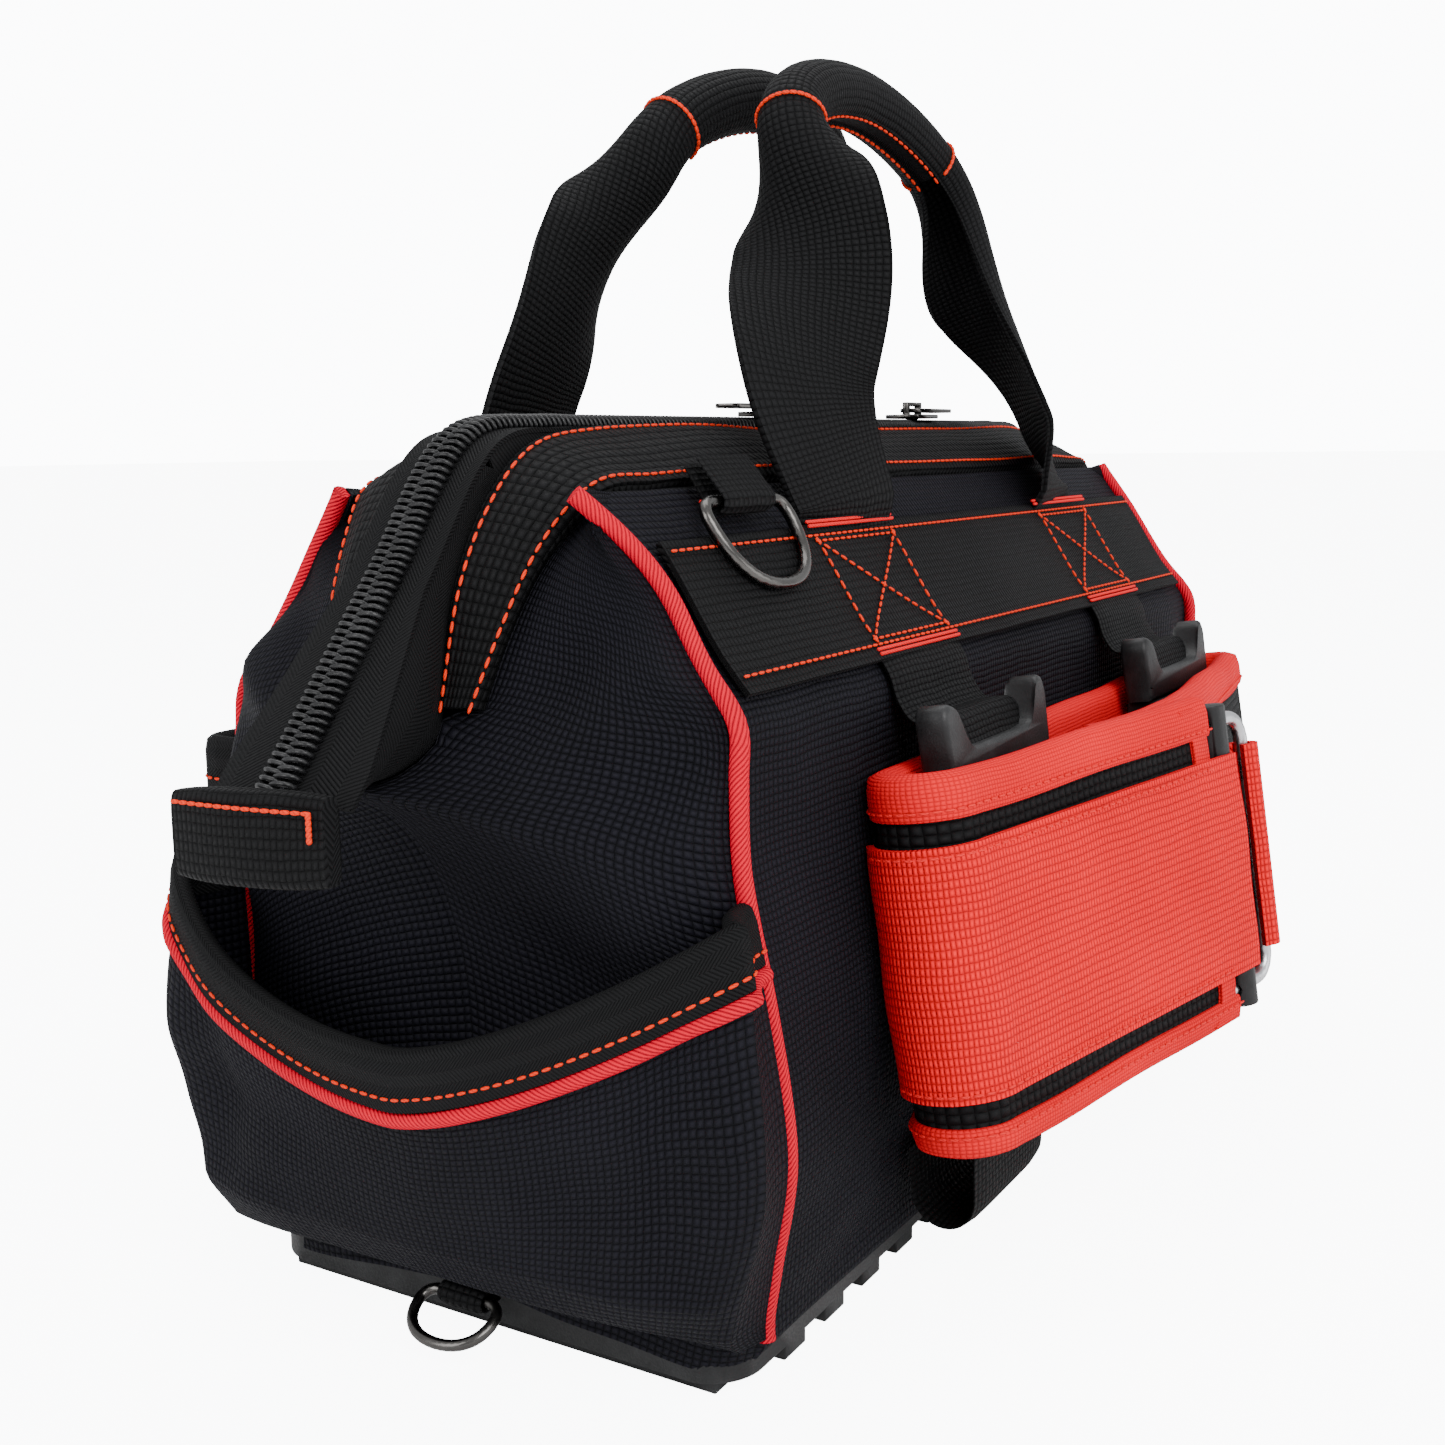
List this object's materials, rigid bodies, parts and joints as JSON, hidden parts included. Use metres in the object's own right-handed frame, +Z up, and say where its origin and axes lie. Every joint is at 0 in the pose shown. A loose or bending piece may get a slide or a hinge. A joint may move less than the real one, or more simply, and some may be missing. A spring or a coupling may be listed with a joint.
{
  "type": "gate-mouth tool bag with strapped-on belt",
  "caption": "Zip-top tool bag with a wide hinged mouth, twin carry handles, bellows end pockets and a moulded base, with a folded padded belt strapped to its front.",
  "frame": {"origin": "middle of the base, on the surface that the bag stands on", "axes": "+X along the bag, +Y from the belt side to the rear pocket side, +Z up"},
  "size_m": [0.5018, 0.2608, 0.3405],
  "materials": {
    "fabric": "coarse woven polyester",
    "webbing": "ribbed webbing",
    "red_webbing": "red padded belt, binding and webbing",
    "moulded": "satin moulded",
    "gunmetal": "nickel-plated, dark",
    "steel": "plated wire",
    "board": "fibre board"
  },
  "bodies": {
    "bag_body": {"base_tray": "moulded", "base_board": "board", "front_lower_panel": "fabric", "rear_lower_panel": "fabric", "near_end_panel": "fabric", "far_end_panel": "fabric", "near_pocket": "fabric", "far_pocket": "fabric", "rear_pocket": "fabric", "near_base_loop": "webbing", "far_base_loop": "webbing", "near_upper_strap": "webbing", "far_upper_strap": "webbing", "near_lower_strap": "webbing", "far_lower_strap": "webbing", "near_buckle_upper": "moulded", "far_buckle_upper": "moulded", "belt_pad": "red_webbing", "belt_webbing": "red_webbing", "belt_frame_strap": "red_webbing"},
    "front_mouth": {"front_upper_panel": "fabric", "front_band": "webbing", "front_collar": "webbing", "front_frame_rod": "steel", "front_zip": "webbing", "front_near_gusset": "fabric", "front_far_gusset": "fabric", "front_ring_loop": "webbing", "near_zip_tab": "webbing"},
    "rear_mouth": {"rear_upper_panel": "fabric", "rear_band": "webbing", "rear_collar": "webbing", "rear_frame_rod": "steel", "rear_zip": "webbing", "rear_near_gusset": "fabric", "rear_far_gusset": "fabric", "rear_ring_loop": "webbing", "far_zip_tab": "webbing"},
    "front_handle": {"front_handle": "webbing", "front_grip": "webbing"},
    "rear_handle": {"rear_handle": "webbing", "rear_grip": "webbing"},
    "near_slider": {"near_slider": "gunmetal"},
    "far_slider": {"far_slider": "gunmetal"},
    "near_pull": {"near_pull": "gunmetal"},
    "far_pull": {"far_pull": "gunmetal"},
    "front_ring": {"front_ring": "gunmetal"},
    "rear_ring": {"rear_ring": "gunmetal"},
    "near_base_ring": {"near_base_ring": "gunmetal"},
    "far_base_ring": {"far_base_ring": "gunmetal"},
    "near_buckle_lower": {"near_buckle_lower": "moulded"},
    "far_buckle_lower": {"far_buckle_lower": "moulded"},
    "near_prong_left": {"near_prong_left": "moulded"},
    "near_prong_right": {"near_prong_right": "moulded"},
    "far_prong_left": {"far_prong_left": "moulded"},
    "far_prong_right": {"far_prong_right": "moulded"},
    "belt_frame": {"belt_frame": "steel"},
    "belt_slide_bar": {"belt_slide_bar": "moulded"}
  },
  "joints": [
    {"name": "front_mouth_hinge", "type": "hinge", "parent": "bag_body", "child": "front_mouth", "pos_m": [0, -0.075, 0.16], "axis": [1, 0, 0], "range_deg": [0, 45]},
    {"name": "rear_mouth_hinge", "type": "hinge", "parent": "bag_body", "child": "rear_mouth", "pos_m": [0, 0.075, 0.16], "axis": [-1, 0, 0], "range_deg": [0, 45]},
    {"name": "front_handle_fold", "type": "hinge", "parent": "front_mouth", "child": "front_handle", "pos_m": [0, -0.054, 0.2], "axis": [1, 0, 0], "range_deg": [0, 95]},
    {"name": "rear_handle_fold", "type": "hinge", "parent": "rear_mouth", "child": "rear_handle", "pos_m": [0, 0.054, 0.2], "axis": [-1, 0, 0], "range_deg": [0, 95]},
    {"name": "near_slider_travel", "type": "slide", "parent": "front_mouth", "child": "near_slider", "axis": [1, 0, 0], "range_m": [-0.095, 0.04]},
    {"name": "far_slider_travel", "type": "slide", "parent": "front_mouth", "child": "far_slider", "axis": [1, 0, 0], "range_m": [-0.04, 0.04]},
    {"name": "near_pull_swing", "type": "hinge", "parent": "near_slider", "child": "near_pull", "pos_m": [-0.0243, 0, 0.235], "axis": [0, 1, 0], "range_deg": [0, 100]},
    {"name": "far_pull_swing", "type": "hinge", "parent": "far_slider", "child": "far_pull", "pos_m": [0.0783, 0, 0.235], "axis": [0, -1, 0], "range_deg": [0, 100]},
    {"name": "front_ring_swing", "type": "hinge", "parent": "front_mouth", "child": "front_ring", "pos_m": [-0.127, -0.04829, 0.20972], "axis": [-1, 0, 0], "range_deg": [0, 130]},
    {"name": "rear_ring_swing", "type": "hinge", "parent": "rear_mouth", "child": "rear_ring", "pos_m": [0.127, 0.04829, 0.20972], "axis": [1, 0, 0], "range_deg": [0, 130]},
    {"name": "near_base_ring_swing", "type": "hinge", "parent": "bag_body", "child": "near_base_ring", "pos_m": [-0.187, 0, 0.012], "axis": [0, 1, 0], "range_deg": [0, 50]},
    {"name": "far_base_ring_swing", "type": "hinge", "parent": "bag_body", "child": "far_base_ring", "pos_m": [0.187, 0, 0.012], "axis": [0, -1, 0], "range_deg": [0, 50]},
    {"name": "near_buckle_release", "type": "slide", "parent": "bag_body", "child": "near_buckle_lower", "axis": [0, -0.1475, -0.9891], "range_m": [0, 0.008]},
    {"name": "near_prong_left_squeeze", "type": "hinge", "parent": "bag_body", "child": "near_prong_left", "pos_m": [-0.0945, -0.09372, 0.13626], "axis": [0, -0.9891, 0.1475], "range_deg": [0, 12]},
    {"name": "near_prong_right_squeeze", "type": "hinge", "parent": "bag_body", "child": "near_prong_right", "pos_m": [-0.0535, -0.09372, 0.13626], "axis": [0, 0.9891, -0.1475], "range_deg": [0, 12]},
    {"name": "far_buckle_release", "type": "slide", "parent": "bag_body", "child": "far_buckle_lower", "axis": [0, -0.1475, -0.9891], "range_m": [0, 0.008]},
    {"name": "far_prong_left_squeeze", "type": "hinge", "parent": "bag_body", "child": "far_prong_left", "pos_m": [0.0705, -0.09372, 0.13626], "axis": [0, -0.9891, 0.1475], "range_deg": [0, 12]},
    {"name": "far_prong_right_squeeze", "type": "hinge", "parent": "bag_body", "child": "far_prong_right", "pos_m": [0.1115, -0.09372, 0.13626], "axis": [0, 0.9891, -0.1475], "range_deg": [0, 12]},
    {"name": "belt_frame_turn", "type": "hinge", "parent": "bag_body", "child": "belt_frame", "pos_m": [0.02025, -0.14144, 0.10141], "axis": [0, 0.1475, 0.9891], "range_deg": [0, 10]},
    {"name": "belt_bar_slide", "type": "slide", "parent": "belt_frame", "child": "belt_slide_bar", "axis": [0.9701, -0.2399, 0.0358], "range_m": [0, 0.006]}
  ],
  "couplings": [
    {"joint": "near_prong_left_squeeze", "follows": "near_buckle_release", "rad_per_m": 26},
    {"joint": "near_prong_right_squeeze", "follows": "near_buckle_release", "rad_per_m": 26},
    {"joint": "far_prong_left_squeeze", "follows": "far_buckle_release", "rad_per_m": 26},
    {"joint": "far_prong_right_squeeze", "follows": "far_buckle_release", "rad_per_m": 26}
  ]
}
